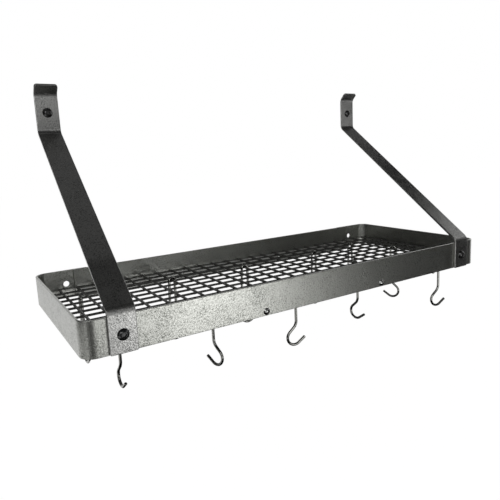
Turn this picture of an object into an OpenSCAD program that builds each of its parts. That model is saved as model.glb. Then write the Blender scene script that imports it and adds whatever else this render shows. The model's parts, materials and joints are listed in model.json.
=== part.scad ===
// Wall-mounted pot rack: a shallow flat-bar tray with a wire grid floor, held by
// two bent strap arms, with S-shaped hooks hanging from the grid wires.
// Millimetres. X runs along the wall, +Y points into the wall, +Z is up.
// The origin lies on the wall plane, midway between the two lower wall holes.

/* [Node] */

// Which piece to draw

/* [Collar] */

// Length of the tray along the wall, outside
rack_w = 800; // [600:10:1000]

// Depth of the tray from the wall plane to its front face
rack_d = 326; // [280:2:380]

// Height of the flat bar that forms the tray's sides
band_h = 50.8; // [46:0.4:60]

// Thickness of the flat bar
band_t = 3.2; // [2.6:0.1:3.6]

// Outside radius of the four bent corners
corner_r = 20; // [16:0.5:24]

// Distance from the tray's end to the seam where the back bar starts
seam_in = 66; // [60:1:72]

// How far the back bar laps over each returned end
seam_lap = 25; // [15:1:30]

/* [Arms] */

// Width of the flat strap
strap_w = 38.1; // [34:0.1:42]

// Thickness of the strap
strap_t = 4; // [3:0.1:5]

// Distance from the tray's end to the arm's outer edge
arm_in = 33.3; // [31:0.1:36]

// Height of the arm's lower bend above the tray's rim
bend_above = 7; // [7:0.2:12]

// Height of the arm's upper bend above the tray's bottom edge
upper_bend = 295.9; // [260:1:330]

// Height of the lip's bend above the upper bend
lip_above = 66.1; // [60:0.1:90]

// How far the lip rises above its bend
lip_rise = 14; // [10:0.5:18]

// How far the lip leans forward
lip_lean = 14; // [8:0.1:16]

// Inside radius of the arm's bends
bend_r = 11; // [6:0.5:12]

// Radius of the lip's rounded front corners
lip_corner_r = 5; // [2:0.5:8]

/* [Wire grid] */

// Diameter of the grid wire
wire_d = 4; // [3.4:0.1:4.4]

// Number of wires that run along the tray
long_count = 12; // [11:1:13]

// Number of wires that run from front to back, an even number
cross_count = 26; // [22:2:28]

// Distance from the outer long wires' centres to the bars beside them
long_in = 14; // [12:0.5:16]

// Distance from the outermost cross wires' centres to the tray's ends, with the grid centred
cross_in = 9.4; // [9:0.1:11]

// How far the grid lies off the tray's middle, to the left where negative
grid_shift = -2.6; // [-3:0.1:0]

/* [Ledges] */

// Height of the ledge angle's upright leg
ledge_h = 14.7; // [14.5:0.1:17]

// Width of the ledge angle's flat leg
ledge_w = 14; // [10:0.5:14]

// Thickness of the ledge angle
ledge_t = 2.5; // [2:0.1:2.6]

// Distance between the two dome-head bolts in each ledge
ledge_bolt_span = 248.8; // [160:0.2:300]

/* [Fasteners] */

// Diameter of the foot and wall screws
screw_d = 9.5; // [8:0.1:10]

// Length of the foot and wall screws under the head
screw_l = 16; // [16:1:20]

// Diameter of the empty lower wall holes
wall_hole_d = 10.5; // [8:0.1:11]

// Height of the wall screws above the arms' upper bend
wall_screw_above = 34.2; // [26:0.1:40]

// Diameter of the bolts that hold the ledges
ledge_bolt_d = 5; // [4:0.5:5]

/* [Hooks] */

// Diameter of the hook rod
rod_d = 5; // [4.5:0.1:5.4]

// Radius of the bend that sits over the grid wire, to the rod's centre
saddle_r = 6; // [5.8:0.1:6.4]

// Length of the short leg
short_leg = 43; // [36:0.5:46]

// Length of the straight long leg
long_leg = 69.2; // [60:0.2:76]

// Radius of the bend at the foot of the long leg, to the rod's centre
elbow_r = 18; // [16:0.5:20]

// Length of the slanted straight between the long leg's bend and the bowl
slant = 10.4; // [8:0.2:14]

// Radius of the bowl that carries a pan's handle, to the rod's centre
bowl_r = 14; // [12:0.5:16]

// Length of the straight tip after the bowl
tip = 15.8; // [12:0.2:18]

/* [Hidden] */

$fn = 96;
wire_fn = 32;
rod_fn = 32;

z_low = -band_h / 2;
y_front = -rack_d;
hole_clear = 0.25;
thread_clear = 0.05;
seat_gap = 0.3;
cut_extra = 1;

// Straights are thinner than the bends they enter, so that the two join cleanly
joint_in = 0.2;
joint_step = 0.01;

// Places of the arms, their bends, the seams and the back bar
arm_x = rack_w / 2 - arm_in - strap_w / 2;
lower_bend = band_h + bend_above;
lip_bend = upper_bend + lip_above;
bar_half = rack_w / 2 - seam_in;
return_end = bar_half - seam_lap;
bar_face = -2 * band_t;

// Places of the wires: the cross wires' ends rest on the ledges, the long wires hang under them
cross_z = z_low + ledge_h + wire_d / 2;
long_z = cross_z - wire_d;
long_y_back = bar_face - long_in;
long_y_front = y_front + band_t + long_in;
long_pitch = (long_y_back - long_y_front) / (long_count - 1);
cross_span = rack_w - 2 * cross_in;
cross_pitch = cross_span / (cross_count - 1);

// Clear space inside the rounded corners, so that the outer wires stop short
inner_r = corner_r - band_t;
corner_gap = 0.6;

// Sizes and heights of the fasteners: the ledge bolts' nuts sit just above the flat leg
ledge_nut_af = 8;
ledge_nut_h = 4;
ledge_stack = band_t + ledge_t;
foot_screw_z = 0;
wall_screw_z = z_low + upper_bend + wall_screw_above;
ledge_bolt_z = z_low + ledge_t + ledge_nut_af / 2 + 0.1;

function long_y(i) = long_y_back - i * long_pitch;
function cross_x(i) = grid_shift - cross_span / 2 + i * cross_pitch;

// Half length that fits between the rounded corners at a distance from the end face
function corner_reach(edge) =
    edge >= inner_r ? 0 : inner_r - sqrt(inner_r * inner_r - (inner_r - edge) * (inner_r - edge));

// Colours of the finishes
steel_grey = [0.47, 0.47, 0.45];
dark_grey = [0.24, 0.24, 0.24];
black = [0.08, 0.08, 0.08];
bright = [0.74, 0.74, 0.74];

// Flat bar corner: a quarter ring standing on edge
module bar_corner() {
    rotate_extrude(angle = 90)
        translate([corner_r - band_t, 0])
            square([band_t, band_h]);
}

// Front band: one flat bar bent round the front, both ends and a short way along the back
module front_band() {
    straight_x = rack_w / 2 - corner_r;
    straight_y = rack_d - 2 * corner_r;
    color(steel_grey)
    difference() {
        translate([0, 0, z_low])
        union() {
            translate([-straight_x, y_front, 0])
                cube([2 * straight_x, band_t, band_h]);
            for (side = [-1, 1])
                translate([side * (rack_w / 2 - band_t / 2) - band_t / 2, y_front + corner_r, 0])
                    cube([band_t, straight_y, band_h]);
            for (side = [-1, 1])
                translate([side * (straight_x + return_end) / 2 - (straight_x - return_end) / 2, -band_t, 0])
                    cube([straight_x - return_end, band_t, band_h]);
            translate([straight_x, y_front + corner_r, 0])
                rotate([0, 0, -90])
                    bar_corner();
            translate([-straight_x, y_front + corner_r, 0])
                rotate([0, 0, 180])
                    bar_corner();
            translate([straight_x, -corner_r, 0])
                bar_corner();
            translate([-straight_x, -corner_r, 0])
                rotate([0, 0, 90])
                    bar_corner();
        }
        for (side = [-1, 1])
            translate([side * arm_x, y_front - cut_extra, foot_screw_z])
                rotate([-90, 0, 0])
                    cylinder(d = screw_d + 2 * hole_clear, h = band_t + 2 * cut_extra);
        for (side = [-1, 1])
            translate([side * ledge_bolt_span / 2, y_front - cut_extra, ledge_bolt_z])
                rotate([-90, 0, 0])
                    cylinder(d = ledge_bolt_d + 2 * hole_clear, h = band_t + 2 * cut_extra);
        for (side = [-1, 1])
            translate([side * arm_x, -band_t - cut_extra, 0])
                rotate([-90, 0, 0])
                    cylinder(d = wall_hole_d, h = band_t + 2 * cut_extra);
    }
}

// Back bar: a straight flat bar that laps inside the two returned ends
module back_bar() {
    color(steel_grey)
    difference() {
        translate([-bar_half, bar_face, z_low])
            cube([2 * bar_half, band_t, band_h]);
        for (side = [-1, 1])
            translate([side * ledge_bolt_span / 2, bar_face - cut_extra, ledge_bolt_z])
                rotate([-90, 0, 0])
                    cylinder(d = ledge_bolt_d + 2 * hole_clear, h = band_t + 2 * cut_extra);
    }
}

// Long wires: the lower layer of the grid
module long_wires() {
    reach = cross_span / 2 + wire_d / 2;
    color(black)
    for (i = [0 : long_count - 1]) {
        from_back = -band_t - (long_y(i) + wire_d / 2);
        from_front = (long_y(i) - wire_d / 2) - (y_front + band_t);
        edge = max(0, min(from_back, from_front) - corner_gap);
        free = rack_w / 2 - band_t - corner_gap - corner_reach(edge);
        left = max(-free, grid_shift - reach);
        right = min(free, grid_shift + reach);
        translate([left, long_y(i), long_z])
            rotate([0, 90, 0])
                cylinder(d = wire_d, h = right - left, $fn = wire_fn);
    }
}

// Cross wires: the upper layer of the grid, welded on top of the long wires, with both ends
// resting on the ledges
module cross_wires() {
    front_end = y_front + band_t + seat_gap;
    back_end = bar_face - seat_gap;
    color(black)
    for (i = [0 : cross_count - 1]) {
        edge = max(0, rack_w / 2 - band_t - (abs(cross_x(i)) + wire_d / 2) - corner_gap);
        reach = corner_reach(edge) + corner_gap;
        low = max(front_end, y_front + band_t + reach);
        high = min(back_end, -band_t - reach);
        translate([cross_x(i), low, cross_z])
            rotate([-90, 0, 0])
                cylinder(d = wire_d, h = high - low, $fn = wire_fn);
    }
}

// Ledge angle, drawn with its upright leg's outer face on y = 0 and its flat leg towards -Y
module ledge(half) {
    difference() {
        union() {
            translate([-half, -ledge_t, 0])
                cube([2 * half, ledge_t, ledge_h]);
            translate([-half, -ledge_w, 0])
                cube([2 * half, ledge_w - ledge_t, ledge_t]);
        }
        for (side = [-1, 1])
            translate([side * ledge_bolt_span / 2, -ledge_t - cut_extra, ledge_bolt_z - z_low])
                rotate([-90, 0, 0])
                    cylinder(d = ledge_bolt_d + 2 * hole_clear, h = ledge_t + 2 * cut_extra);
    }
}

// Front ledge: carries the front edge of the grid inside the front band
module front_ledge() {
    color(dark_grey)
    translate([0, y_front + band_t, z_low])
        mirror([0, 1, 0])
            ledge(rack_w / 2 - corner_r - 6);
}

// Back ledge: carries the rear edge of the grid on the back bar
module back_ledge() {
    color(dark_grey)
    translate([0, bar_face, z_low])
        ledge(bar_half - 4);
}

// Ledge bolt: low dome head and plain shank along +Y, head face on y = 0
module ledge_bolt(grip) {
    head_r = 5.75;
    head_h = 2.6;
    ball_r = (head_r * head_r + head_h * head_h) / (2 * head_h);
    rotate([90, 0, 0])
        intersection() {
            cylinder(r = head_r, h = head_h);
            translate([0, 0, head_h - ball_r])
                sphere(r = ball_r);
        }
    rotate([-90, 0, 0])
        cylinder(d = ledge_bolt_d, h = grip);
}

// Hexagon nut with its bearing face on z = 0 and two flats facing the Y directions
module hex_nut(across, tall, bore_d) {
    difference() {
        cylinder(d = across / cos(30), h = tall, $fn = 6);
        translate([0, 0, -cut_extra])
            cylinder(d = bore_d, h = tall + 2 * cut_extra);
    }
}

// Front ledge bolts: two bright dome heads on the front band
module front_ledge_bolts() {
    color(bright)
    for (side = [-1, 1])
        translate([side * ledge_bolt_span / 2, y_front, ledge_bolt_z])
            ledge_bolt(ledge_stack + ledge_nut_h + 1);
}

// Front ledge nuts: inside the ledge angle
module front_ledge_nuts() {
    color(bright)
    for (side = [-1, 1])
        translate([side * ledge_bolt_span / 2, y_front + ledge_stack, ledge_bolt_z])
            rotate([-90, 0, 0])
                hex_nut(ledge_nut_af, ledge_nut_h, ledge_bolt_d + 2 * thread_clear);
}

// Back ledge bolts: the heads lie in the gap between the back bar and the wall
module back_ledge_bolts() {
    color(bright)
    for (side = [-1, 1])
        translate([side * ledge_bolt_span / 2, -band_t, ledge_bolt_z])
            mirror([0, 1, 0])
                ledge_bolt(ledge_stack + ledge_nut_h + 1);
}

// Back ledge nuts: inside the ledge angle
module back_ledge_nuts() {
    color(bright)
    for (side = [-1, 1])
        translate([side * ledge_bolt_span / 2, -band_t - ledge_stack, ledge_bolt_z])
            rotate([90, 0, 0])
                hex_nut(ledge_nut_af, ledge_nut_h, ledge_bolt_d + 2 * thread_clear);
}

// Straight strap along +Z that enters the bends at its ends, then whatever follows
module strap_run(length) {
    wide = strap_w - 2 * joint_step;
    thick = strap_t - 2 * joint_step;
    translate([-wide / 2, -thick / 2, -joint_in])
        cube([wide, thick, length + 2 * joint_in]);
    translate([0, 0, length])
        children();
}

// First straight of the strap, square at its lower end
module strap_foot(length) {
    wide = strap_w - 2 * joint_step;
    thick = strap_t - 2 * joint_step;
    translate([-wide / 2, -thick / 2, 0])
        cube([wide, thick, length + joint_in]);
    translate([0, 0, length])
        children();
}

// Strap bent towards +Y through an angle, then whatever follows at its end
module strap_bend(angle) {
    mid_r = bend_r + strap_t / 2;
    translate([0, mid_r, 0])
        rotate([0, 90, 0])
            rotate([0, 0, 270 - angle])
                rotate_extrude(angle = angle)
                    translate([bend_r, -strap_w / 2])
                        square([strap_t, strap_w]);
    translate([0, mid_r - mid_r * cos(angle), mid_r * sin(angle)])
        rotate([-angle, 0, 0])
            children();
}

// Lip of the strap: a short flat end with rounded corners
module strap_end(length) {
    wide = strap_w - 2 * joint_step;
    thick = strap_t - 2 * joint_step;
    translate([0, thick / 2, 0])
        rotate([90, 0, 0])
            linear_extrude(height = thick)
                union() {
                    translate([-wide / 2, -joint_in])
                        square([wide, length + joint_in - lip_corner_r]);
                    translate([-wide / 2 + lip_corner_r, -joint_in])
                        square([wide - 2 * lip_corner_r, length + joint_in]);
                    for (side = [-1, 1])
                        translate([side * (wide / 2 - lip_corner_r), length - lip_corner_r])
                            circle(r = lip_corner_r, $fn = 48);
                }
}

// Arm: one strap bent at the tray's top, at the wall and at its lip
module arm() {
    mid_r = bend_r + strap_t / 2;
    run_y = rack_d;
    run_z = upper_bend - lower_bend;
    tilt = atan2(run_y, run_z);
    lip_tilt = atan2(lip_lean, lip_rise);
    foot = lower_bend - mid_r * tan(tilt / 2);
    slope = sqrt(run_y * run_y + run_z * run_z) - 2 * mid_r * tan(tilt / 2);
    upright = lip_bend - upper_bend - mid_r * tan(tilt / 2) - mid_r * tan(lip_tilt / 2);
    lip = sqrt(lip_lean * lip_lean + lip_rise * lip_rise) - mid_r * tan(lip_tilt / 2);
    color(dark_grey)
    difference() {
        translate([0, y_front - strap_t / 2, z_low])
            strap_foot(foot)
                strap_bend(tilt)
                    strap_run(slope)
                        mirror([0, 1, 0])
                            strap_bend(tilt)
                                strap_run(upright)
                                    strap_bend(lip_tilt)
                                        strap_end(lip);
        translate([0, y_front - strap_t - cut_extra, foot_screw_z])
            rotate([-90, 0, 0])
                cylinder(d = screw_d + 2 * hole_clear, h = strap_t + 2 * cut_extra);
        translate([0, -strap_t - cut_extra, wall_screw_z])
            rotate([-90, 0, 0])
                cylinder(d = screw_d + 2 * hole_clear, h = strap_t + 2 * cut_extra);
    }
}

module left_arm() {
    translate([-arm_x, 0, 0])
        arm();
}

module right_arm() {
    translate([arm_x, 0, 0])
        arm();
}

// Button-head screw: low dome head with a hexagon socket, shank along +Y, head face on y = 0
module button_screw() {
    head_r = screw_d * 0.875;
    head_h = screw_d * 0.55;
    socket_af = screw_d * 0.585;
    socket_deep = screw_d * 0.33;
    ball_r = (head_r * head_r + head_h * head_h) / (2 * head_h);
    color(black)
    union() {
        rotate([90, 0, 0])
            difference() {
                intersection() {
                    cylinder(r = head_r, h = head_h);
                    translate([0, 0, head_h - ball_r])
                        sphere(r = ball_r);
                }
                translate([0, 0, head_h - socket_deep])
                    cylinder(d = socket_af / cos(30), h = socket_deep + cut_extra, $fn = 6);
            }
        rotate([-90, 0, 0])
            cylinder(d = screw_d, h = screw_l);
    }
}

module left_foot_screw() {
    translate([-arm_x, y_front - strap_t, foot_screw_z])
        button_screw();
}

module right_foot_screw() {
    translate([arm_x, y_front - strap_t, foot_screw_z])
        button_screw();
}

// Foot nut: on the inside of the front band, small enough to clear the cross wires below it
module foot_nut() {
    color(black)
    translate([0, y_front + band_t, foot_screw_z])
        rotate([-90, 0, 0])
            hex_nut(screw_d * 1.4, screw_d * 0.8, screw_d + 2 * thread_clear);
}

module left_foot_nut() {
    translate([-arm_x, 0, 0])
        foot_nut();
}

module right_foot_nut() {
    translate([arm_x, 0, 0])
        foot_nut();
}

// Wall screws: through the upper end of each arm
module left_wall_screw() {
    translate([-arm_x, -strap_t, wall_screw_z])
        button_screw();
}

module right_wall_screw() {
    translate([arm_x, -strap_t, wall_screw_z])
        button_screw();
}

// Straight rod along +Z that enters the bends at its ends, then whatever follows
module rod_run(length) {
    translate([0, 0, -joint_in])
        cylinder(d = rod_d - 2 * joint_step, h = length + 2 * joint_in, $fn = rod_fn);
    translate([0, 0, length])
        children();
}

// Rod bent towards +X through an angle at a radius, then whatever follows at its end
module rod_bend(angle, radius) {
    translate([radius, 0, 0])
        rotate([90, 0, 0])
            rotate([0, 0, 180 - angle])
                rotate_extrude(angle = angle, $fn = 64)
                    translate([radius, 0])
                        circle(d = rod_d, $fn = rod_fn);
    translate([radius - radius * cos(angle), 0, radius * sin(angle)])
        rotate([0, angle, 0])
            children();
}

// Last straight of the rod, with a small chamfer at its cut end
module rod_tip(length) {
    chamfer = 0.8;
    thin_d = rod_d - 2 * joint_step;
    translate([0, 0, -joint_in])
        cylinder(d = thin_d, h = length + joint_in - chamfer, $fn = rod_fn);
    translate([0, 0, length - chamfer])
        cylinder(d1 = thin_d, d2 = thin_d - 2 * chamfer, h = chamfer, $fn = rod_fn);
}

// Hook: centre of the grid wire at the origin, tip towards +X, hanging in the XZ plane
module hook() {
    saddle_up = wire_d / 2 + seat_gap + rod_d / 2 - saddle_r;
    splay = 2.5;
    elbow = 47.5;
    bowl_turn = 173.5;
    color(bright)
    union() {
        translate([-saddle_r * cos(splay), 0, saddle_up + saddle_r * sin(splay)])
            rotate([0, 180 + splay, 0])
                rod_tip(short_leg);
        translate([0, 0, saddle_up])
            rotate([90, 0, 0])
                rotate_extrude(angle = 180 - splay, $fn = 64)
                    translate([saddle_r, 0])
                        circle(d = rod_d, $fn = rod_fn);
        translate([saddle_r, 0, saddle_up])
            rotate([0, 180, 0])
                rod_run(long_leg)
                    rod_bend(elbow, elbow_r)
                        rod_run(slant)
                            mirror([1, 0, 0])
                                rod_bend(bowl_turn, bowl_r)
                                    rod_tip(tip);
    }
}

// Hook on a cross wire, at a distance behind the named long wire, turned about Z
module hook_on_cross(wire, cell, back, heading) {
    translate([cross_x(wire), long_y(cell) - back, cross_z])
        rotate([0, 0, heading])
            hook();
}

// Hook on a long wire, at a distance past the named cross wire, turned about Z
module hook_on_long(cell, wire, past, heading) {
    translate([cross_x(wire) + past, long_y(cell), long_z])
        rotate([0, 0, heading])
            hook();
}

module front_hook_1() hook_on_long(7, 2, 9.6, 270);
module front_hook_2() hook_on_long(8, 7, 9.4, 107.6);
module front_hook_3() hook_on_cross(12, 8, 18.4, -9);
module front_hook_4() hook_on_long(7, 18, 7.5, 276);
module front_hook_5() hook_on_long(5, 23, 22.5, 120);
module front_hook_6() hook_on_cross(24, 9, 7.2, -11);
module back_hook_1() hook_on_long(2, 1, 21.1, 270);
module back_hook_2() hook_on_cross(7, 2, 7.2, 12);
module back_hook_3() hook_on_cross(12, 2, 14.9, -8);
module back_hook_4() hook_on_cross(18, 2, 7.4, 10);
module back_hook_5() hook_on_long(1, 22, 16.5, 90);

front_band();
back_bar();
long_wires();
cross_wires();
front_ledge();
back_ledge();
front_ledge_bolts();
front_ledge_nuts();
back_ledge_bolts();
back_ledge_nuts();
left_arm();
right_arm();
left_foot_screw();
right_foot_screw();
left_foot_nut();
right_foot_nut();
left_wall_screw();
right_wall_screw();
front_hook_1();
front_hook_2();
front_hook_3();
front_hook_4();
front_hook_5();
front_hook_6();
back_hook_1();
back_hook_2();
back_hook_3();
back_hook_4();
back_hook_5();
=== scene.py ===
import json
import math

import bmesh
import bpy
import numpy as np
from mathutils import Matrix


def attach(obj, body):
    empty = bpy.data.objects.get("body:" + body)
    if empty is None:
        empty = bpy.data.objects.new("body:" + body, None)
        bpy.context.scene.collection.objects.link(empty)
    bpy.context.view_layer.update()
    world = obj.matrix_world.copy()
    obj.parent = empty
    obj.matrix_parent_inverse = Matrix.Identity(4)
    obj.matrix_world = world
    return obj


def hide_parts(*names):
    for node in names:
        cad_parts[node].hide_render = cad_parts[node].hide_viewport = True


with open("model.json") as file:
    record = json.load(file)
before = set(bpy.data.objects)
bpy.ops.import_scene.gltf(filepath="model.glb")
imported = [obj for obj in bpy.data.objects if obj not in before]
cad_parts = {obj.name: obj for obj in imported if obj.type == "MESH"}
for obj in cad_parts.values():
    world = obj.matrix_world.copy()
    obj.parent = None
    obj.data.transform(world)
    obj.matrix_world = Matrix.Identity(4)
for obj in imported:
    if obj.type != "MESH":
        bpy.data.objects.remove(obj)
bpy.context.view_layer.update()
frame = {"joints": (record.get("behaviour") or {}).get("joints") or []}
scene = bpy.context.scene
scene.view_settings.view_transform = "Standard"

# The view: the photograph looks along the rack from near its left end, from a little above it.
# The lens, in pixels, and the place, in metres and degrees, come from solving the camera with the
# rack's own straight edges.
image_size = 500
sensor_width = 36
focal_length = 496.96
optical_centre = (256.44, 235.40)
camera_place = (-0.5248, -0.9370, 0.2235)
camera_turn = (80.390, 2.531, -32.827)

camera_data = bpy.data.cameras.new("view")
camera_data.sensor_width = sensor_width
camera_data.lens = focal_length / image_size * sensor_width
camera_data.shift_x = 0.5 - optical_centre[0] / image_size
camera_data.shift_y = optical_centre[1] / image_size - 0.5
camera = bpy.data.objects.new("view", camera_data)
camera.location = camera_place
camera.rotation_euler = [math.radians(angle) for angle in camera_turn]
scene.collection.objects.link(camera)
scene.camera = camera

# Front band: one length of 51 by 3.2 mm flat steel bar that stands on edge, bent round the front,
# both ends and a short way along the back. Each returned end is pierced for a wall screw, and the
# bar's arrises are eased. The steel is hammered, then lacquered clear.
rack_long = 0.800
rack_deep = 0.326
bar_tall = 0.0508
bar_thick = 0.0032
bar_ease = 0.0008
corner_radius = 0.020
return_end = 0.309
arm_place = 0.34765
wall_hole_radius = 0.00525
hole_ease = 0.0003
side_parts = 16
arris_points = 5
seam_weld = 1e-6
sharp_angle = 35


def trace(start, heading, moves, arc_step=7.5):
    """Flat path of straights and arcs. A move (length, 0) goes straight on. A move (radius, turn)
    turns the heading left by turn degrees, or right where it is negative, on the circle
    start + radius * (sin(h + t) - sin h, cos h - cos(h + t)), with t from 0 to turn in steps of
    about arc_step degrees. Gives the points (n, 2) and the heading at each of them in radians."""
    points = [np.array([start], float)]
    headings = [np.array([math.radians(heading)])]
    for size, turn in moves:
        h = headings[-1][-1]
        if turn:
            steps = max(2, round(abs(turn) / arc_step))
            t = np.linspace(0, math.radians(turn), steps + 1)[1:]
            step = np.stack([np.sin(h + t) - np.sin(h), np.cos(h) - np.cos(h + t)], 1)
            step = step * math.copysign(size, turn)
        else:
            t = np.zeros(1)
            step = size * np.array([[np.cos(h), np.sin(h)]])
        points.append(points[-1][-1] + step)
        headings.append(h + t)
    return np.concatenate(points), np.concatenate(headings)


def bar_section(wide, thick, ease, parts=1):
    """Section of a flat bar: points (across, through) round a rectangle whose corners are quarter
    circles of radius ease, with each wide side divided into equal parts."""
    quarter = np.linspace(0, math.pi / 2, arris_points)
    arcs = []
    for corner, (right, up) in enumerate([(1, 1), (-1, 1), (-1, -1), (1, -1)]):
        angle = quarter + corner * math.pi / 2
        centre = np.array([right * (wide / 2 - ease), up * (thick / 2 - ease)])
        arcs.append(centre + ease * np.stack([np.cos(angle), np.sin(angle)], 1))
    outer = np.linspace(arcs[0][-1], arcs[1][0], parts + 1)[1:-1]
    inner = np.linspace(arcs[2][-1], arcs[3][0], parts + 1)[1:-1]
    return np.concatenate([arcs[0], outer, arcs[1], arcs[2], inner, arcs[3]])


def skin(rings, closed=True):
    """Quads between neighbouring rows of points, an array (row, point, xyz), closed round each
    row where it is a ring."""
    count, around = rings.shape[:2]
    near = np.arange(count * around).reshape(count, around)
    beside = np.roll(near, -1, axis=1)
    last = around if closed else around - 1
    quads = np.stack([near[:-1], beside[:-1], beside[1:], near[1:]], axis=-1)
    return rings.reshape(-1, 3), quads[:, :last].reshape(-1, 4)


def make_piece(name, skins, material, node, body="rack"):
    """One finished piece from several skins: seams and poles are welded, faces turned outwards,
    all shaded smooth but for arrises over the sharp angle, and it stands for its CAD node."""
    sizes = [len(points) for points, quads in skins]
    starts = np.cumsum([0] + sizes[:-1])
    points = np.concatenate([points for points, quads in skins])
    quads = np.concatenate([skins[i][1] + starts[i] for i in range(len(skins))])
    mesh = bpy.data.meshes.new(name)
    mesh.from_pydata(points, [], quads)
    shell = bmesh.new()
    shell.from_mesh(mesh)
    bmesh.ops.remove_doubles(shell, verts=shell.verts, dist=seam_weld)
    bmesh.ops.recalc_face_normals(shell, faces=shell.faces)
    shell.to_mesh(mesh)
    shell.free()
    mesh.shade_smooth()
    mesh.set_sharp_from_angle(angle=math.radians(sharp_angle))
    mesh.materials.append(material)
    piece = bpy.data.objects.new(name, mesh)
    scene.collection.objects.link(piece)
    flat_sides = piece.modifiers.new("keeps flat sides flat", "WEIGHTED_NORMAL")
    flat_sides.keep_sharp = True
    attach(piece, body)
    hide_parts(node)
    return piece


def linear(hex_colour):
    """The linear colour of an sRGB hex value: v / 12.92 where v is 0.04045 or less, and
    ((v + 0.055) / 1.055)^2.4 above."""
    parts = np.array([int(hex_colour[i:i + 2], 16) for i in (1, 3, 5)]) / 255
    light = np.where(parts <= 0.04045, parts / 12.92, ((parts + 0.055) / 1.055) ** 2.4)
    return (*light.tolist(), 1.0)


def new_material(name):
    """An empty material of that name, its node tree and its shader."""
    material = bpy.data.materials.new(name)
    material.use_nodes = True
    return material, material.node_tree, material.node_tree.nodes["Principled BSDF"]


def add(tree, kind, settings=None, inputs=None):
    """Adds a node with its settings. An input takes a plain value, or a socket that feeds it."""
    node = tree.nodes.new("ShaderNode" + kind)
    for key, value in (settings or {}).items():
        setattr(node, key, value)
    for key, value in (inputs or {}).items():
        if isinstance(value, bpy.types.NodeSocket):
            tree.links.new(value, node.inputs[key])
        else:
            node.inputs[key].default_value = value
    return node


def hammered_steel(name, bare, worked, shadow, rough):
    """Mild steel, hammered cold and lacquered clear: a satin metal. Dents 4 mm apart and grit 2 mm
    across catch light and dark from all round, and hold a dark speckle of beaten-in scale that is
    thickest in clusters some 30 mm across."""
    cluster_wide = 0.03
    dent_gap = 0.004
    grit_wide = 0.0021
    relief_deep = 0.0004
    dent_share = 0.4
    gloss_spread = 0.1
    material, tree, shader = new_material(name)
    place = add(tree, "TexCoord").outputs["Object"]
    cloud = add(tree, "TexNoise", inputs={"Vector": place, "Scale": 1 / cluster_wide,
                                          "Detail": 4.0, "Roughness": 0.65})
    cluster = add(tree, "MapRange", inputs={"Value": cloud.outputs["Fac"], "From Min": 0.4,
                                            "From Max": 0.62, "To Min": 0.4})
    grit = add(tree, "TexNoise", inputs={"Vector": place, "Scale": 1 / grit_wide, "Detail": 2.0,
                                         "Roughness": 0.6})
    fleck = add(tree, "MapRange", inputs={"Value": grit.outputs["Fac"], "From Min": 0.5,
                                          "From Max": 0.64})
    speckle = add(tree, "Math", {"operation": "MULTIPLY"}, {0: fleck.outputs["Result"],
                                                            1: cluster.outputs["Result"]})
    dappled = add(tree, "Mix", {"data_type": "RGBA"}, {0: speckle.outputs["Value"],
                                                       6: linear(bare), 7: linear(worked)})
    patch = add(tree, "MapRange", inputs={"Value": cloud.outputs["Fac"], "From Min": 0.5,
                                          "From Max": 0.75, "To Max": 0.1})
    clouded = add(tree, "Mix", {"data_type": "RGBA"}, {0: patch.outputs["Result"],
                                                       6: dappled.outputs[2], 7: linear(shadow)})
    tree.links.new(clouded.outputs[2], shader.inputs["Base Color"])
    gloss = add(tree, "MapRange", inputs={"Value": grit.outputs["Fac"], "From Min": 0.3,
                                          "From Max": 0.7, "To Min": rough,
                                          "To Max": rough + gloss_spread})
    tree.links.new(gloss.outputs["Result"], shader.inputs["Roughness"])
    dents = add(tree, "TexVoronoi", {"feature": "SMOOTH_F1"},
                {"Vector": place, "Scale": 1 / dent_gap})
    relief = add(tree, "Math", {"operation": "MULTIPLY_ADD"}, {0: dents.outputs["Distance"],
                                                               1: dent_share,
                                                               2: grit.outputs["Fac"]})
    bump = add(tree, "Bump", inputs={"Height": relief.outputs["Value"], "Distance": relief_deep,
                                     "Strength": cluster.outputs["Result"]})
    tree.links.new(bump.outputs["Normal"], shader.inputs["Normal"])
    shader.inputs["Metallic"].default_value = 1.0
    shader.inputs["Coat Weight"].default_value = 0.2
    shader.inputs["Coat Roughness"].default_value = 0.2
    return material


def band_bend(section):
    """The bar carried from one returned end round to the other: each station is the path's point
    plus the section's depth along the outward normal, with the section's width upright."""
    middle = corner_radius - bar_thick / 2
    end_run = rack_deep - 2 * corner_radius
    front_run = rack_long - 2 * corner_radius
    start = (-front_run / 2, -bar_thick / 2)
    moves = [(middle, 90), (end_run, 0), (middle, 90), (front_run, 0), (middle, 90), (end_run, 0),
             (middle, 90)]
    points, headings = trace(start, 180, moves)
    outward = np.stack([np.sin(headings), -np.cos(headings)], 1)
    rings = np.empty((len(points), len(section), 3))
    rings[:, :, :2] = points[:, None] + outward[:, None] * section[None, :, 1:]
    rings[:, :, 2] = section[:, 0]
    return skin(rings)


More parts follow.
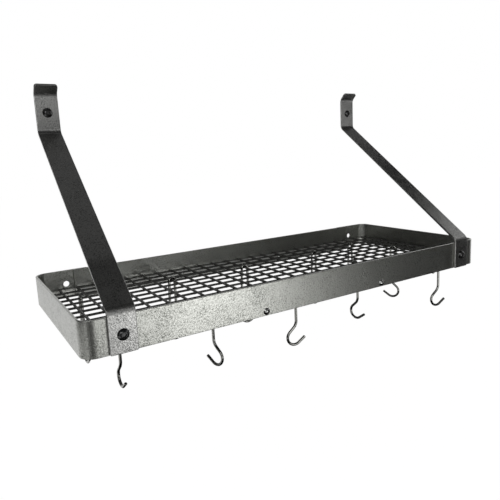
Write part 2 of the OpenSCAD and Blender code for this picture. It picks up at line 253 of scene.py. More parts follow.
def returned_end(side, section):
    """Flat end of the bar behind the rack, with its wall hole: both faces are rings that pass
    from the rectangle's outline to the hole's circle, joined through the hole, and the eased
    edge is the section's rounded side carried round the three free sides."""
    seam = rack_long / 2 - corner_radius
    reach = seam - return_end - bar_ease
    half = bar_tall / 2 - bar_ease
    hole = np.array([seam - arm_place, 0.0])
    up = np.linspace(-half, half, side_parts + 1)
    out = np.linspace(0, reach, side_parts + 1)
    end = np.stack([np.full_like(up, reach), up], 1)
    top = np.stack([out[::-1], np.full_like(out, half)], 1)
    join = np.stack([np.zeros_like(up), up[::-1]], 1)
    foot = np.stack([out, np.full_like(out, -half)], 1)
    outline = np.concatenate([end[:-1], top[:-1], join[:-1], foot[:-1]])
    away = outline - hole
    away = away / np.linalg.norm(away, axis=1, keepdims=True)
    wide_ring = hole + away * (wall_hole_radius + hole_ease)
    tight_ring = hole + away * wall_hole_radius
    flat = [outline, wide_ring, tight_ring, tight_ring, wide_ring, outline]
    depth = [0, 0, -hole_ease, hole_ease - bar_thick, -bar_thick, -bar_thick]
    face = np.empty((len(flat), len(outline), 3))
    face[:, :, 0] = -side * (seam - np.stack(flat)[:, :, 0])
    face[:, :, 1] = np.array(depth)[:, None]
    face[:, :, 2] = np.stack(flat)[:, :, 1]

    quarter = np.linspace(0, math.pi / 2, arris_points)
    corner = np.stack([np.cos(quarter), np.sin(quarter)], 1)
    base = np.concatenate([foot, np.repeat([[reach, -half]], arris_points, 0), end,
                           np.repeat([[reach, half]], arris_points, 0), top])
    lean = np.concatenate([np.repeat([[0, -1]], side_parts + 1, 0), corner[::-1] * [1, -1],
                           np.repeat([[1, 0]], side_parts + 1, 0), corner,
                           np.repeat([[0, 1]], side_parts + 1, 0)])
    rounded = np.concatenate([section[-arris_points:], section[:arris_points]])
    proud = rounded[:, 0] - half
    strip = np.empty((len(base), len(rounded), 3))
    strip[:, :, 0] = -side * (seam - base[:, None, 0] - lean[:, None, 0] * proud)
    strip[:, :, 1] = rounded[:, 1] - bar_thick / 2
    strip[:, :, 2] = base[:, None, 1] + lean[:, None, 1] * proud
    return [skin(face), skin(strip, closed=False)]


hammered = hammered_steel("hammered_lacquered_steel", "#acada8", "#7c7e77", "#6d706a", 0.3)
band_section = bar_section(bar_tall, bar_thick, bar_ease, side_parts)
band_skins = [band_bend(band_section), *returned_end(-1, band_section),
              *returned_end(1, band_section)]
make_piece("front_band_bent_bar", band_skins, hammered, "front_band")

# Back bar: a straight length of the same flat bar, welded inside the two returned ends, so that
# its sheared ends show as upright seams 66 mm in from the rack's ends. Its hammered finish is the
# band's in darker colours, which are painted shade: the band and the grid shade its inner face.
back_bar_half = 0.334
back_bar_face = -0.0064


def closed_ends(rings):
    """The same rings with one more at each end, drawn together at its middle to close the skin."""
    middles = rings[[0, -1]].mean(axis=1, keepdims=True)
    poles = np.repeat(middles, rings.shape[1], axis=1)
    return np.concatenate([poles[:1], rings, poles[1:]])


def straight_bar(half_long, wide, thick, ease):
    """Flat bar along X with all arrises eased: rings whose corners draw in by almost all of
    ease * (1 - cos a) while they move out by ease * sin a, with a from 0 to 90 degrees."""
    end_rings = 4
    almost_all = 0.98
    section = bar_section(wide, thick, ease)
    angle = np.linspace(math.pi / 2, 0, end_rings)
    from_end = ease * (1 - np.sin(angle))
    inset = ease * (1 - np.cos(angle)) * almost_all
    along = np.concatenate([-half_long + from_end, half_long - from_end[::-1]])
    inset = np.concatenate([inset, inset[::-1]])
    rings = np.empty((len(along), len(section), 3))
    rings[:, :, 0] = along[:, None]
    across = section[None] - np.sign(section)[None] * inset[:, None, None]
    rings[:, :, 1] = across[:, :, 1]
    rings[:, :, 2] = across[:, :, 0]
    return closed_ends(rings)


back_rings = straight_bar(back_bar_half, bar_tall, bar_thick, bar_ease)
back_rings[:, :, 1] += back_bar_face + bar_thick / 2
# Painted shade: the band's hammered finish in darker colours, for the shade on the back bar's inner
# face.
back_bar_painted_shade_steel = hammered_steel("hammered_lacquered_back_bar", "#9b9c97", "#70726b", "#62655f", 0.3)
make_piece("back_bar_straight", [skin(back_rings)], back_bar_painted_shade_steel, "back_bar")

# Long wires: twelve 4 mm round wires that run along the rack, the lower layer of its grid. The
# grid stands a little to the left. Every crossing is resistance welded, which swells both wires a
# little, and the grid is powder coated black.
wire_radius = 0.002
wire_end_ease = 0.0004
weld_swell = 0.0003
weld_reach = 0.0016
weld_rings = 5
wire_sides = 12
long_count = 12
cross_count = 26
wire_gap = 0.0003
corner_gap = 0.0006
long_inset = 0.014
cross_inset = 0.0094
grid_shift = -0.0026
ledge_tall = 0.0147
cross_height = -bar_tall / 2 + ledge_tall + wire_radius
long_height = cross_height - 2 * wire_radius
long_places = np.linspace(back_bar_face - long_inset, -rack_deep + bar_thick + long_inset,
                          long_count)
cross_places = grid_shift + np.linspace(-rack_long / 2 + cross_inset, rack_long / 2 - cross_inset,
                                        cross_count)


def corner_reach(edge):
    """How far the rack's rounded inner corner stands in, at a distance from the end's inner face:
    r - sqrt(r^2 - (r - edge)^2) inside the corner's radius r, and nothing beyond it."""
    radius = corner_radius - bar_thick
    inside = radius - min(max(edge, 0), radius)
    return radius - math.sqrt(radius ** 2 - inside ** 2)


def grid_wire(axis, low, high, welds, beside, height):
    """Round wire along X (axis 0) or Y (axis 1) whose radius swells at each weld w by
    swell * exp(-((s - w) / reach)^2), with rings out to 1.5 reaches on both sides of the weld and
    eased ends drawn together at a pole."""
    offsets = np.linspace(-1.5, 1.5, weld_rings) * weld_reach
    inner = (welds[:, None] + offsets).ravel()
    inner = inner[(inner > low + 2 * wire_end_ease) & (inner < high - 2 * wire_end_ease)]
    along = np.concatenate([[low, low + wire_end_ease], inner, [high - wire_end_ease, high]])
    swell = np.exp(-((along[:, None] - welds) / weld_reach) ** 2).sum(1)
    radius = wire_radius + weld_swell * swell
    radius[[0, -1]] = wire_radius - wire_end_ease
    angle = np.linspace(0, 2 * math.pi, wire_sides, endpoint=False)
    rings = np.empty((len(along), len(angle), 3))
    rings[:, :, axis] = along[:, None]
    rings[:, :, 1 - axis] = beside + radius[:, None] * np.cos(angle)
    rings[:, :, 2] = height + radius[:, None] * np.sin(angle)
    return skin(closed_ends(rings))


def long_wire(place):
    """One long wire, cut to fit between the rounded corners."""
    from_back = -bar_thick - (place + wire_radius)
    from_front = (place - wire_radius) + rack_deep - bar_thick
    edge = min(from_back, from_front) - corner_gap
    free = rack_long / 2 - bar_thick - corner_gap - corner_reach(edge)
    low = max(-free, cross_places[0] - wire_radius)
    high = min(free, cross_places[-1] + wire_radius)
    return grid_wire(0, low, high, cross_places, place, long_height)


def black_powder_coat(name):
    """Polyester powder coat, baked: a satin black film with a faint orange peel some 2 mm across,
    which wears a little greyer in patches some 30 mm across."""
    patch_wide = 0.03
    peel_wide = 0.002
    peel_deep = 0.0002
    material, tree, shader = new_material(name)
    place = add(tree, "TexCoord").outputs["Object"]
    rub = add(tree, "TexNoise", inputs={"Vector": place, "Scale": 1 / patch_wide, "Detail": 4.0})
    film = add(tree, "Mix", {"data_type": "RGBA"}, {0: rub.outputs["Fac"],
                                                    6: linear("#1b1b1a"), 7: linear("#32322f")})
    tree.links.new(film.outputs[2], shader.inputs["Base Color"])
    peel = add(tree, "TexNoise", inputs={"Vector": place, "Scale": 1 / peel_wide, "Detail": 1.0})
    bump = add(tree, "Bump", inputs={"Height": peel.outputs["Fac"], "Strength": 0.15,
                                     "Distance": peel_deep})
    tree.links.new(bump.outputs["Normal"], shader.inputs["Normal"])
    shader.inputs["Roughness"].default_value = 0.42
    return material


powder_coat = black_powder_coat("black_powder_coat")
make_piece("grid_long_wires", [long_wire(place) for place in long_places], powder_coat,
           "long_wires")

# Cross wires: twenty-six wires of the same kind, from front to back, welded on top. Their ends
# reach over the ledges.


def cross_wire(place):
    """One cross wire, cut to fit between the rounded corners."""
    edge = rack_long / 2 - bar_thick - (abs(place) + wire_radius) - corner_gap
    reach = corner_reach(edge) + corner_gap
    low = -rack_deep + bar_thick + max(wire_gap, reach)
    high = min(back_bar_face - wire_gap, -bar_thick - reach)
    return grid_wire(1, low, high, long_places, place, cross_height)


make_piece("grid_cross_wires", [cross_wire(place) for place in cross_places], powder_coat,
           "cross_wires")

# Ledges: two lengths of small rolled steel angle, bolted inside the front band and the back bar.
# The grid's ends rest on their upright legs, and their flat legs show through it as grey lines.
ledge_wide = 0.014
ledge_thick = 0.0025
front_ledge_half = 0.374
back_ledge_half = 0.330
heel_radius = 0.0009
root_radius = 0.0013
edge_radius = 0.0004


def rounded_outline(corners, radii, steps=4):
    """Outline whose corners are arcs: each arc leaves its corner's sides at radius / tan(half the
    corner's angle), round a centre at radius / sin(half the angle) along the corner's middle."""
    corners = np.array(corners, float)
    radii = np.array(radii)[:, None]
    before = np.roll(corners, 1, axis=0) - corners
    after = np.roll(corners, -1, axis=0) - corners
    before = before / np.linalg.norm(before, axis=1, keepdims=True)
    after = after / np.linalg.norm(after, axis=1, keepdims=True)
    middle = (before + after) / np.linalg.norm(before + after, axis=1, keepdims=True)
    half = np.arccos((before * middle).sum(1))[:, None]
    centre = corners + middle * radii / np.sin(half)
    first = (corners + before * radii / np.tan(half) - centre)[:, None]
    last = (corners + after * radii / np.tan(half) - centre)[:, None]
    share = np.linspace(0, 1, steps + 1)[None, :, None]
    turn = (math.pi - 2 * half)[:, None]
    arc = (np.sin((1 - share) * turn) * first + np.sin(share * turn) * last) / np.sin(turn)
    return (centre[:, None] + arc).reshape(-1, 2)


def ledge(half_long, face, inward):
    """Steel angle along X: its outline (inward from the face, up), rounded at heel, root and toes,
    carried between two sheared ends."""
    corners = [(0, 0), (ledge_wide, 0), (ledge_wide, ledge_thick), (ledge_thick, ledge_thick),
               (ledge_thick, ledge_tall), (0, ledge_tall)]
    radii = [heel_radius, edge_radius, heel_radius, root_radius, heel_radius, edge_radius]
    outline = rounded_outline(corners, radii)
    rings = np.empty((2, len(outline), 3))
    rings[:, :, 0] = np.array([-half_long, half_long])[:, None]
    rings[:, :, 1] = face + inward * outline[:, 0]
    rings[:, :, 2] = outline[:, 1] - bar_tall / 2
    return [skin(closed_ends(rings))]


def rolled_steel(name):
    """Mill-finish rolled angle under the same clear lacquer: dull grey scale, paler in streaks
    along the rolling direction, 1 mm across and 60 mm long."""
    streak_long = 0.06
    streak_wide = 0.001
    scale_deep = 0.0002
    material, tree, shader = new_material(name)
    place = add(tree, "TexCoord").outputs["Object"]
    drawn_out = add(tree, "Mapping", inputs={"Vector": place, "Scale": (1 / streak_long,
                                                                        1 / streak_wide,
                                                                        1 / streak_wide)})
    streaks = add(tree, "TexNoise", inputs={"Vector": drawn_out.outputs["Vector"], "Scale": 1.0,
                                            "Detail": 3.0})
    scale = add(tree, "Mix", {"data_type": "RGBA"}, {0: streaks.outputs["Fac"],
                                                     6: linear("#8b8c89"), 7: linear("#c4c5c1")})
    tree.links.new(scale.outputs[2], shader.inputs["Base Color"])
    bump = add(tree, "Bump", inputs={"Height": streaks.outputs["Fac"], "Strength": 0.1,
                                     "Distance": scale_deep})
    tree.links.new(bump.outputs["Normal"], shader.inputs["Normal"])
    shader.inputs["Metallic"].default_value = 0.9
    shader.inputs["Roughness"].default_value = 0.48
    return material


angle_steel = rolled_steel("rolled_steel_angle")
make_piece("ledge_front_angle", ledge(front_ledge_half, -rack_deep + bar_thick, 1), angle_steel,
           "front_ledge")
make_piece("ledge_back_angle", ledge(back_ledge_half, back_bar_face, -1), angle_steel,
           "back_ledge")

# Ledge bolts: four 5 mm bolts with low polished dome heads, two in front and two behind, cold
# headed with rolled threads and bright zinc plated.
bolt_place = 0.1244
bolt_height = -0.0188
dome_radius = 0.00575
dome_tall = 0.0026
bolt_radius = 0.0025
bolt_pitch = 0.0008
ledge_stack = bar_thick + ledge_thick
bolt_nut_tall = 0.004
bolt_nut_across = 0.008
bolt_neck = 0.0005
bolt_past_nut = 0.001
bolt_long = ledge_stack + bolt_nut_tall + bolt_past_nut
ring_angle = np.linspace(0, 2 * math.pi, 48, endpoint=False)


def turned(along, radii, centre, facing=1):
    """Solid turned about a line along Y: each ring stands at y = centre + facing * along, with
    its radius at each angle."""
    along = np.asarray(along, float)[:, None]
    rings = np.empty((len(along), len(ring_angle), 3))
    rings[:, :, 0] = centre[0] + radii * np.cos(ring_angle)
    rings[:, :, 1] = centre[1] + facing * along
    rings[:, :, 2] = centre[2] + radii * np.sin(ring_angle)
    return skin(rings)


def dome(radius, tall, from_radius=0.0):
    """Profile of a low dome, from its crown or a given radius to its rim: with ball radius
    b = (radius^2 + tall^2) / (2 tall), a point at radius r stands at b - tall - sqrt(b^2 - r^2)."""
    ball = (radius ** 2 + tall ** 2) / (2 * tall)
    sweep = np.linspace(math.asin(from_radius / ball), math.asin(radius / ball), 10)
    return ball - tall - ball * np.cos(sweep), ball * np.sin(sweep)


def thread(start, end, radius, pitch):
    """Rolled thread: r = radius - depth * |2 frac(along / pitch - angle / 360) - 1|, with a depth
    of 0.6 pitch that fades in over one pitch and runs out in a 45 degree point."""
    rings_per_pitch = 8
    along = np.arange(start, end, pitch / rings_per_pitch)
    along = np.append(along, end)
    phase = along[:, None] / pitch - ring_angle / (2 * math.pi)
    depth = 0.6 * pitch * np.clip((along - start) / pitch, 0, 1)[:, None]
    ridge = radius - depth * np.abs(2 * (phase % 1) - 1)
    point = radius - np.clip(pitch - (end - along), 0, None)
    return along, np.minimum(ridge, point[:, None])


def stacked(*profiles):
    """Joins profiles (along, radius) into one: a radius is one number, or one for each angle."""
    along = np.concatenate([np.atleast_1d(a) for a, r in profiles])
    rows = [np.broadcast_to(np.reshape(r, (np.size(a), -1)), (np.size(a), len(ring_angle)))
            for a, r in profiles]
    return along, np.concatenate(rows)


def ledge_bolt(place, face, facing):
    """Dome head, bearing face and threaded shank, closed at the crown and at the point."""
    parts = stacked(dome(dome_radius, dome_tall), (0.0, bolt_radius),
                    thread(bolt_neck, bolt_long, bolt_radius, bolt_pitch), (bolt_long, 0.0))
    return turned(*parts, (place, face, bolt_height), facing)


def bright_zinc(name, pale, deep, rough):
    """Zinc plate over polished steel: bright, faintly cloudy, with hairline wheel marks drawn
    1.5 mm apart so that they show."""
    cloud_wide = 0.008
    mark_gap = 0.0015
    mark_deep = 0.0001
    material, tree, shader = new_material(name)
    place = add(tree, "TexCoord").outputs["Object"]
    cloud = add(tree, "TexNoise", inputs={"Vector": place, "Scale": 1 / cloud_wide, "Detail": 3.0})
    plate = add(tree, "Mix", {"data_type": "RGBA"}, {0: cloud.outputs["Fac"], 6: linear(pale),
                                                     7: linear(deep)})
    tree.links.new(plate.outputs[2], shader.inputs["Base Color"])
    marks = add(tree, "TexNoise", inputs={"Vector": place, "Scale": 1 / mark_gap, "Detail": 2.0})
    bump = add(tree, "Bump", inputs={"Height": marks.outputs["Fac"], "Strength": 0.08,
                                     "Distance": mark_deep})
    tree.links.new(bump.outputs["Normal"], shader.inputs["Normal"])
    shader.inputs["Metallic"].default_value = 1.0
    shader.inputs["Roughness"].default_value = rough
    return material


zinc = bright_zinc("bright_zinc_plate", "#a9aaa8", "#7f817f", 0.16)
make_piece("bolts_front_dome", [ledge_bolt(side * bolt_place, -rack_deep, 1) for side in (-1, 1)],
           zinc, "front_ledge_bolts")
make_piece("bolts_back_dome", [ledge_bolt(side * bolt_place, -bar_thick, -1) for side in (-1, 1)],
           zinc, "back_ledge_bolts")

# Ledge nuts: 8 mm hexagon nuts on those bolts, of the same zinc-plated steel. They are drawn up
# against the ledges' upright legs, under the grid.


def hexagon(across):
    """Radius of a hexagon at each angle: half its width over cos of the angle from its flat."""
    from_flat = ring_angle % (math.pi / 3) - math.pi / 6
    return across / 2 / np.cos(from_flat)


def hex_nut(across, tall, bore, centre, facing):
    """Hexagon nut whose corners are cut back by a 30 degree cone at both faces, with a
    countersunk bore. Its profile is a closed loop."""
    face_share = 0.95
    cone = math.radians(30)
    sink = 0.0004
    outer = hexagon(across)
    face = across / 2 * face_share
    cut = (outer - face) * math.tan(cone)
    rows = [(sink, bore), (0, bore + sink), (0, face), (cut, outer), (tall - cut, outer),
            (tall, face), (tall, bore + sink), (tall - sink, bore), (sink, bore)]
    along = np.stack([np.broadcast_to(a, ring_angle.shape) for a, r in rows])
    radii = np.stack([np.broadcast_to(r, ring_angle.shape) for a, r in rows])
    rings = np.stack([centre[0] + radii * np.cos(ring_angle), centre[1] + facing * along,
                      centre[2] + radii * np.sin(ring_angle)], axis=-1)
    return skin(rings)


def ledge_nuts(face, facing):
    """The pair of nuts on one ledge."""
    return [hex_nut(bolt_nut_across, bolt_nut_tall, bolt_radius,
                    (side * bolt_place, face, bolt_height), facing) for side in (-1, 1)]


make_piece("nuts_front", ledge_nuts(-rack_deep + ledge_stack, 1), zinc,
           "front_ledge_nuts")
make_piece("nuts_back", ledge_nuts(-bar_thick - ledge_stack, -1), zinc,
           "back_ledge_nuts")

# Arms: two 38 by 4 mm flat steel straps, each bent at the tray's rim, at the wall and at its lip,
# which leans forward and has rounded corners. The steel is hammered and lacquered as the band is,
# its finish a little glossier and in darker colours, which are painted shade.
strap_wide = 0.0381
strap_thick = 0.004
strap_ease = 0.0009
strap_bend = 0.013
strap_front = -0.328
strap_back = -0.002
low_bend = 0.0578
high_bend = 0.2959
lip_bend = 0.362
lip_rise = 0.014
lip_lean = 0.014
lip_corner = 0.005
foot_corner = 0.0025


def end_steps(corner, ease):
    """Distances from a strap's end at which its rings stand: closest where the rounded corners
    and the eased arris turn fastest."""
    ring_count = 7
    turn = 1 - np.cos(np.linspace(0, math.pi / 2, ring_count))
    return np.unique(np.concatenate([corner * turn, ease * turn[::2]]))


def drawn_in(distance, radius):
    """How far a rounded corner has drawn in at a distance d from the end: r - sqrt(r^2 - (r - d)^2)
    inside its radius r, and nothing beyond it."""
    inside = radius - np.clip(distance, 0, radius)
    return radius - np.sqrt(radius ** 2 - inside ** 2)


def arm(centre):
    """Strap section carried up the foot, over the slope, up the wall and out along the lip. Its
    width and thickness draw in at both ends by the corners' and the arrises' quarter circles."""
    tilt = math.atan2(strap_back - strap_front, high_bend - low_bend)
    lip_tilt = math.atan2(lip_lean, lip_rise)
    bend_in = strap_bend * math.tan(tilt / 2)
    lip_in = strap_bend * math.tan(lip_tilt / 2)
    slope = math.hypot(strap_back - strap_front, high_bend - low_bend) - 2 * bend_in
    upright = lip_bend - high_bend - bend_in - lip_in
    lip = math.hypot(lip_lean, lip_rise) - lip_in
    foot_steps = end_steps(foot_corner, strap_ease)
    lip_steps = end_steps(lip_corner, strap_ease)[::-1]
    moves = [(step, 0) for step in np.diff(foot_steps)]
    moves += [(low_bend - bend_in - foot_steps[-1], 0), (strap_bend, -math.degrees(tilt)),
              (slope, 0), (strap_bend, math.degrees(tilt)), (upright, 0),
              (strap_bend, math.degrees(lip_tilt)), (lip - lip_steps[0], 0)]
    moves += [(step, 0) for step in -np.diff(lip_steps)]
    points, headings = trace((strap_front, -bar_tall / 2), 90, moves)
    section = bar_section(strap_wide, strap_thick, strap_ease)
    run = np.concatenate([[0], np.cumsum(np.linalg.norm(np.diff(points, axis=0), axis=1))])
    to_tip = run[-1] - run
    narrow = drawn_in(run, foot_corner) + drawn_in(to_tip, lip_corner)
    thin = drawn_in(run, strap_ease) + drawn_in(to_tip, strap_ease)
    across = section[None] - np.sign(section)[None] * np.stack([narrow, thin], 1)[:, None]
    normal = np.stack([-np.sin(headings), np.cos(headings)], 1)
    rings = np.empty((len(points), len(section), 3))
    rings[:, :, 0] = centre + across[:, :, 0]
    rings[:, :, 1:] = points[:, None] + normal[:, None] * across[:, :, 1:]
    return [skin(closed_ends(rings))]


# Painted shade: the band's hammered finish in darker colours, for the dark that the straps mirror.
strap_steel_painted_shade = hammered_steel("hammered_strap_steel", "#a6a6a4", "#666765", "#646563", 0.26)
make_piece("arm_left_strap", arm(-arm_place), strap_steel_painted_shade, "left_arm")
make_piece("arm_right_strap", arm(arm_place), strap_steel_painted_shade, "right_arm")

# Foot and wall screws: four 9.5 mm button-head screws with 5.6 mm hexagon sockets, black oxide
# on alloy steel. Two clamp the arms' feet to the band, and two go through the arms into the wall.
screw_radius = 0.00475
screw_pitch = 0.0016
screw_long = 0.016
button_radius = 0.00831
button_tall = 0.00522
crown_radius = 0.0039
socket_across = 0.00556
socket_floor = -0.0021
mouth_chamfer = 0.0005
screw_neck = 0.0008
foot_screw_height = 0.0
wall_screw_height = 0.3047


def button_screw(centre):
    """Socket, crown, dome, bearing face and threaded shank, closed at the socket's floor and at
    the point. The socket is a hexagon with a small chamfer at its mouth."""
    dome_along, dome_out = dome(button_radius, button_tall, crown_radius)
    socket = hexagon(socket_across)
    parts = stacked((socket_floor, 0.0), (socket_floor, socket),
                    (dome_along[0] + mouth_chamfer, socket),
                    (dome_along[0], socket + mouth_chamfer),
                    (dome_along, dome_out), (0.0, screw_radius),
                    thread(screw_neck, screw_long, screw_radius, screw_pitch), (screw_long, 0.0))
    return [turned(*parts, centre)]


def black_oxide(name):
    """Hot black oxide on a quenched screw, lightly oiled: a near-black film, clouded faintly every
    3 mm, that glints through its oil."""
    cloud_wide = 0.003
    film_deep = 0.0002
    material, tree, shader = new_material(name)
    place = add(tree, "TexCoord").outputs["Object"]
    cloud = add(tree, "TexNoise", inputs={"Vector": place, "Scale": 1 / cloud_wide, "Detail": 3.0})
    oxide = add(tree, "Mix", {"data_type": "RGBA"}, {0: cloud.outputs["Fac"],
                                                     6: linear("#070708"), 7: linear("#151514")})
    tree.links.new(oxide.outputs[2], shader.inputs["Base Color"])
    bump = add(tree, "Bump", inputs={"Height": cloud.outputs["Fac"], "Strength": 0.05,
                                     "Distance": film_deep})
    tree.links.new(bump.outputs["Normal"], shader.inputs["Normal"])
    shader.inputs["Metallic"].default_value = 0.0
    shader.inputs["Roughness"].default_value = 0.24
    shader.inputs["Coat Weight"].default_value = 0.4
    shader.inputs["Coat Roughness"].default_value = 0.12
    return material


oxide = black_oxide("black_oxide_steel")
foot_face = strap_front - strap_thick / 2
for side, name in ((-1, "left"), (1, "right")):
    at_foot = (side * arm_place, foot_face, foot_screw_height)
    at_wall = (side * arm_place, -strap_thick, wall_screw_height)
    make_piece(f"screw_foot_{name}", button_screw(at_foot), oxide,
               f"{name}_foot_screw")
    make_piece(f"screw_wall_{name}", button_screw(at_wall), oxide,
               f"{name}_wall_screw")

# Foot nuts: small-pattern hexagon nuts on the foot screws, tightened inside the band, in the same
# black oxide as the screws.
foot_nut_across = 0.0133
foot_nut_tall = 0.0076
for side, name in ((-1, "left"), (1, "right")):
    centre = (side * arm_place, -rack_deep + bar_thick, foot_screw_height)
    nut = hex_nut(foot_nut_across, foot_nut_tall, screw_radius, centre, 1)
    make_piece(f"nut_foot_{name}", [nut], oxide, f"{name}_foot_nut")

# Hooks: eleven pan hooks of 5 mm steel rod, bent cold to an open S and plated bright. The narrow
# bend hangs on a grid wire, the long leg is cranked back over the bowl, and both ends are cut and
# tumbled. A hook's heading is where its tip points, in degrees from +X, seen from above.
rod_radius = 0.0025
rod_ease = 0.0008
rod_sides = 20
saddle_radius = 0.006
saddle_rise = -0.0012
splay = 2.5
short_leg = 0.043
long_leg = 0.0692
elbow_radius = 0.018
elbow_turn = 47.5
slant = 0.0104
bowl_radius = 0.014
bowl_turn = 173.5
tip_long = 0.0158
hook_headings = {
    "front_hook_1": 270, "front_hook_2": 107.6, "front_hook_3": -9, "front_hook_4": 276,
    "front_hook_5": 120, "front_hook_6": -11, "back_hook_1": 270, "back_hook_2": 12,
    "back_hook_3": -8, "back_hook_4": 10, "back_hook_5": 90,
}


def hook(pivot, heading):
    """Rod carried along the hook's flat path from the short leg's end, over the saddle and round
    the bowl to the tip. The path's plane stands upright at the heading, and the rod's rings draw
    in at both cut ends."""
    lean = math.radians(splay)
    saddle_end = np.array([-saddle_radius * math.cos(lean),
                           saddle_rise + saddle_radius * math.sin(lean)])
    start = saddle_end - short_leg * np.array([math.sin(lean), math.cos(lean)])
    first = rod_ease * 0.3
    second = rod_ease * 0.7
    moves = [(first, 0), (second, 0), (short_leg - rod_ease, 0), (saddle_radius, splay - 180),
             (long_leg, 0), (elbow_radius, -elbow_turn), (slant, 0), (bowl_radius, bowl_turn),
             (tip_long - rod_ease, 0), (second, 0), (first, 0)]
    points, headings = trace(start, 90 - splay, moves)
    radius = np.full(len(points), rod_radius)
    radius[[0, -1]] -= rod_ease
    radius[[1, -2]] -= first
    angle = np.linspace(0, 2 * math.pi, rod_sides, endpoint=False)
    normal = np.stack([-np.sin(headings), np.cos(headings)], 1)
    flat = points[:, None] + (radius[:, None] * np.cos(angle))[:, :, None] * normal[:, None]
    aside = radius[:, None] * np.sin(angle)
    turn = math.radians(heading)
    rings = np.empty((*aside.shape, 3))
    rings[:, :, 0] = pivot[0] + flat[:, :, 0] * math.cos(turn) - aside * math.sin(turn)
    rings[:, :, 1] = pivot[1] + flat[:, :, 0] * math.sin(turn) + aside * math.cos(turn)
    rings[:, :, 2] = pivot[2] + flat[:, :, 1]
    return [skin(closed_ends(rings))]


bright_rod = bright_zinc("bright_drawn_rod", "#9c9c98", "#6f706c", 0.14)
pivots = {joint["child"]: joint["pos_m"] for joint in frame["joints"]}
for name, heading in hook_headings.items():
    make_piece(f"{name}_rod", hook(pivots[name], heading), bright_rod, name, name)

# The studio: a white floor below the hooks and an even white room. The steel takes its shading
# from what it mirrors, so grey and black flags stand round the set, seen only in reflections.
floor_height = -0.45
floor_half = 9
paper_white = 1.03
paper_share = 0.94


def stage_sheet(name, corners, material):
    """Flat four-cornered sheet that is no part of the rack."""
    mesh = bpy.data.meshes.new(name)
    mesh.from_pydata(corners, [], [(0, 1, 2, 3)])
    mesh.materials.append(material)
    sheet = bpy.data.objects.new(name, mesh)
    scene.collection.objects.link(sheet)
    return sheet


def seen_or_mirrored(tree):
    """1 for rays from the camera and rays that mirror or pass on what it sees, otherwise 0."""
    path = add(tree, "LightPath")
    mirrored = add(tree, "Math", {"operation": "MAXIMUM"}, {0: path.outputs["Is Camera Ray"],
                                                            1: path.outputs["Is Glossy Ray"]})
    seen = add(tree, "Math", {"operation": "MAXIMUM"}, {0: mirrored.outputs["Value"],
                                                        1: path.outputs["Is Transmission Ray"]})
    return seen.outputs["Value"]


# The paper glows by itself for what the camera sees and what the steel mirrors, and the rest of it
# is plain lit paper, so that the rack's shadow stays.
floor_material, tree, shader = new_material("white_paper_sweep")
shader.inputs["Base Color"].default_value = linear("#f4f4f2")
shader.inputs["Roughness"].default_value = 0.9
white = add(tree, "Emission", inputs={"Color": linear("#ffffff"), "Strength": paper_white})
share = add(tree, "Math", {"operation": "MULTIPLY"}, {0: seen_or_mirrored(tree), 1: paper_share})
paper = add(tree, "MixShader", inputs={0: share.outputs["Value"], 1: shader.outputs["BSDF"],
                                       2: white.outputs["Emission"]})
tree.links.new(paper.outputs["Shader"], tree.nodes["Material Output"].inputs["Surface"])


def level_corners(low, high, height):
    """The four corners of a level rectangle between two corners of the floor plan."""
    return [(*low, height), (high[0], low[1], height), (*high, height), (low[0], high[1], height)]


stage_sheet("floor", level_corners((-floor_half, -floor_half), (floor_half, floor_half),
                                   floor_height), floor_material)


def flag(name, grey, corners):
    """A studio flag: a sheet of that even grey, which only mirrored rays see."""
    material, tree, shader = new_material(name)
    tone = add(tree, "Emission", inputs={"Color": linear(grey), "Strength": 1.0})
    tree.links.new(tone.outputs["Emission"], tree.nodes["Material Output"].inputs["Surface"])
    sheet = stage_sheet(name, corners, material)
    sheet.visible_camera = False
    sheet.visible_shadow = False
    sheet.visible_diffuse = False


def upright_flag(name, grey, start, end, low, high):
    """A flag that stands upright from one point of the floor plan to another."""
    flag(name, grey, [(*start, low), (*end, low), (*end, high), (*start, high)])


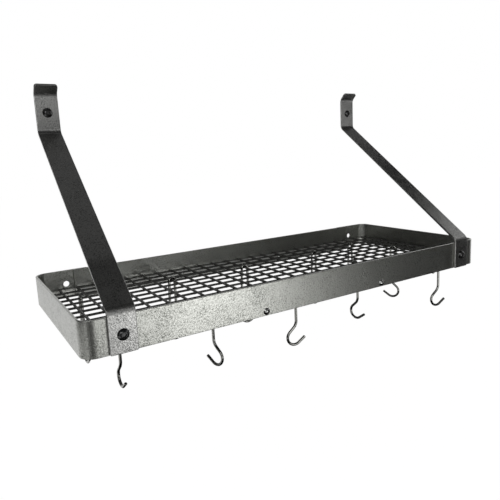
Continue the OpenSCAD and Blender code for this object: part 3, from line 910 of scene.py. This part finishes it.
above = 1.4
upright_flag("flag_right", "#2c2c2c", (0.8, -1.52), (0.8, -0.44), floor_height, 0.28)
upright_flag("flag_camera_side", "#2c2c2c", (-1.2, -0.85), (-0.43, -0.85), floor_height, 0.3)
upright_flag("flag_back_left", "#0a0a0a", (-1.6, -0.9), (-1.6, 3.0), floor_height, 0.9)
upright_flag("flag_front", "#b8b8b8", (-2.5, -2.6), (3.2, -2.6), 0.0, above)
flag("flag_above", "#606060", level_corners((-2.5, -2.6), (2.3, 3.0), above))
flag("flag_above_front", "#2a2a2a", level_corners((-1.2, -1.9), (1.2, -0.3), above - 0.02))
flag("flag_below", "#161616", level_corners((-0.7, -1.2), (1.5, 0.15), floor_height + 0.01))
upright_flag("flag_behind", "#161616", (-0.22, 0.06), (0.4, 0.06), -0.3, -0.03)
upright_flag("flag_under_lip", "#1c1c1c", (-0.44, -0.25), (-0.18, -0.25), 0.14, 0.30)
flag("flag_strap", "#1c1c1c", [(0.70, -0.22, 0.24), (0.54, -0.22, 0.44), (0.52, 0.0, 0.55),
                               (0.69, 0.0, 0.35)])


def area_lamp(name, place, target, wide, tall, watts):
    """A rectangular lamp of that width, height and power at a place, aimed at a target."""
    lamp_data = bpy.data.lights.new(name, "AREA")
    lamp_data.shape = "RECTANGLE"
    lamp_data.size = wide
    lamp_data.size_y = tall
    lamp_data.energy = watts
    lamp = bpy.data.objects.new(name, lamp_data)
    lamp.location = place
    aim = np.array(target) - place
    lamp.rotation_euler = (math.acos(-aim[2] / np.linalg.norm(aim)), 0,
                           math.atan2(aim[1], aim[0]) - math.pi / 2)
    lamp.visible_camera = False
    scene.collection.objects.link(lamp)


area_lamp("soft_box", (-1.3, -1.9, 0.9), (0, 0, 0), 1.6, 1.2, 16)
area_lamp("strip_box", (0.25, -1.35, -0.30), (-0.15, -0.32, 0), 0.5, 0.3, 1.5)

# The room gives this much light, and looks plain white where it is seen or mirrored.
room_light = 0.6
room_white = 1.0
world = bpy.data.worlds.new("white_room")
world.use_nodes = True
tree = world.node_tree
level = add(tree, "MapRange", inputs={"Value": seen_or_mirrored(tree), "To Min": room_light,
                                      "To Max": room_white})
room = tree.nodes["Background"]
room.inputs["Color"].default_value = linear("#ffffff")
tree.links.new(level.outputs["Result"], room.inputs["Strength"])
scene.world = world
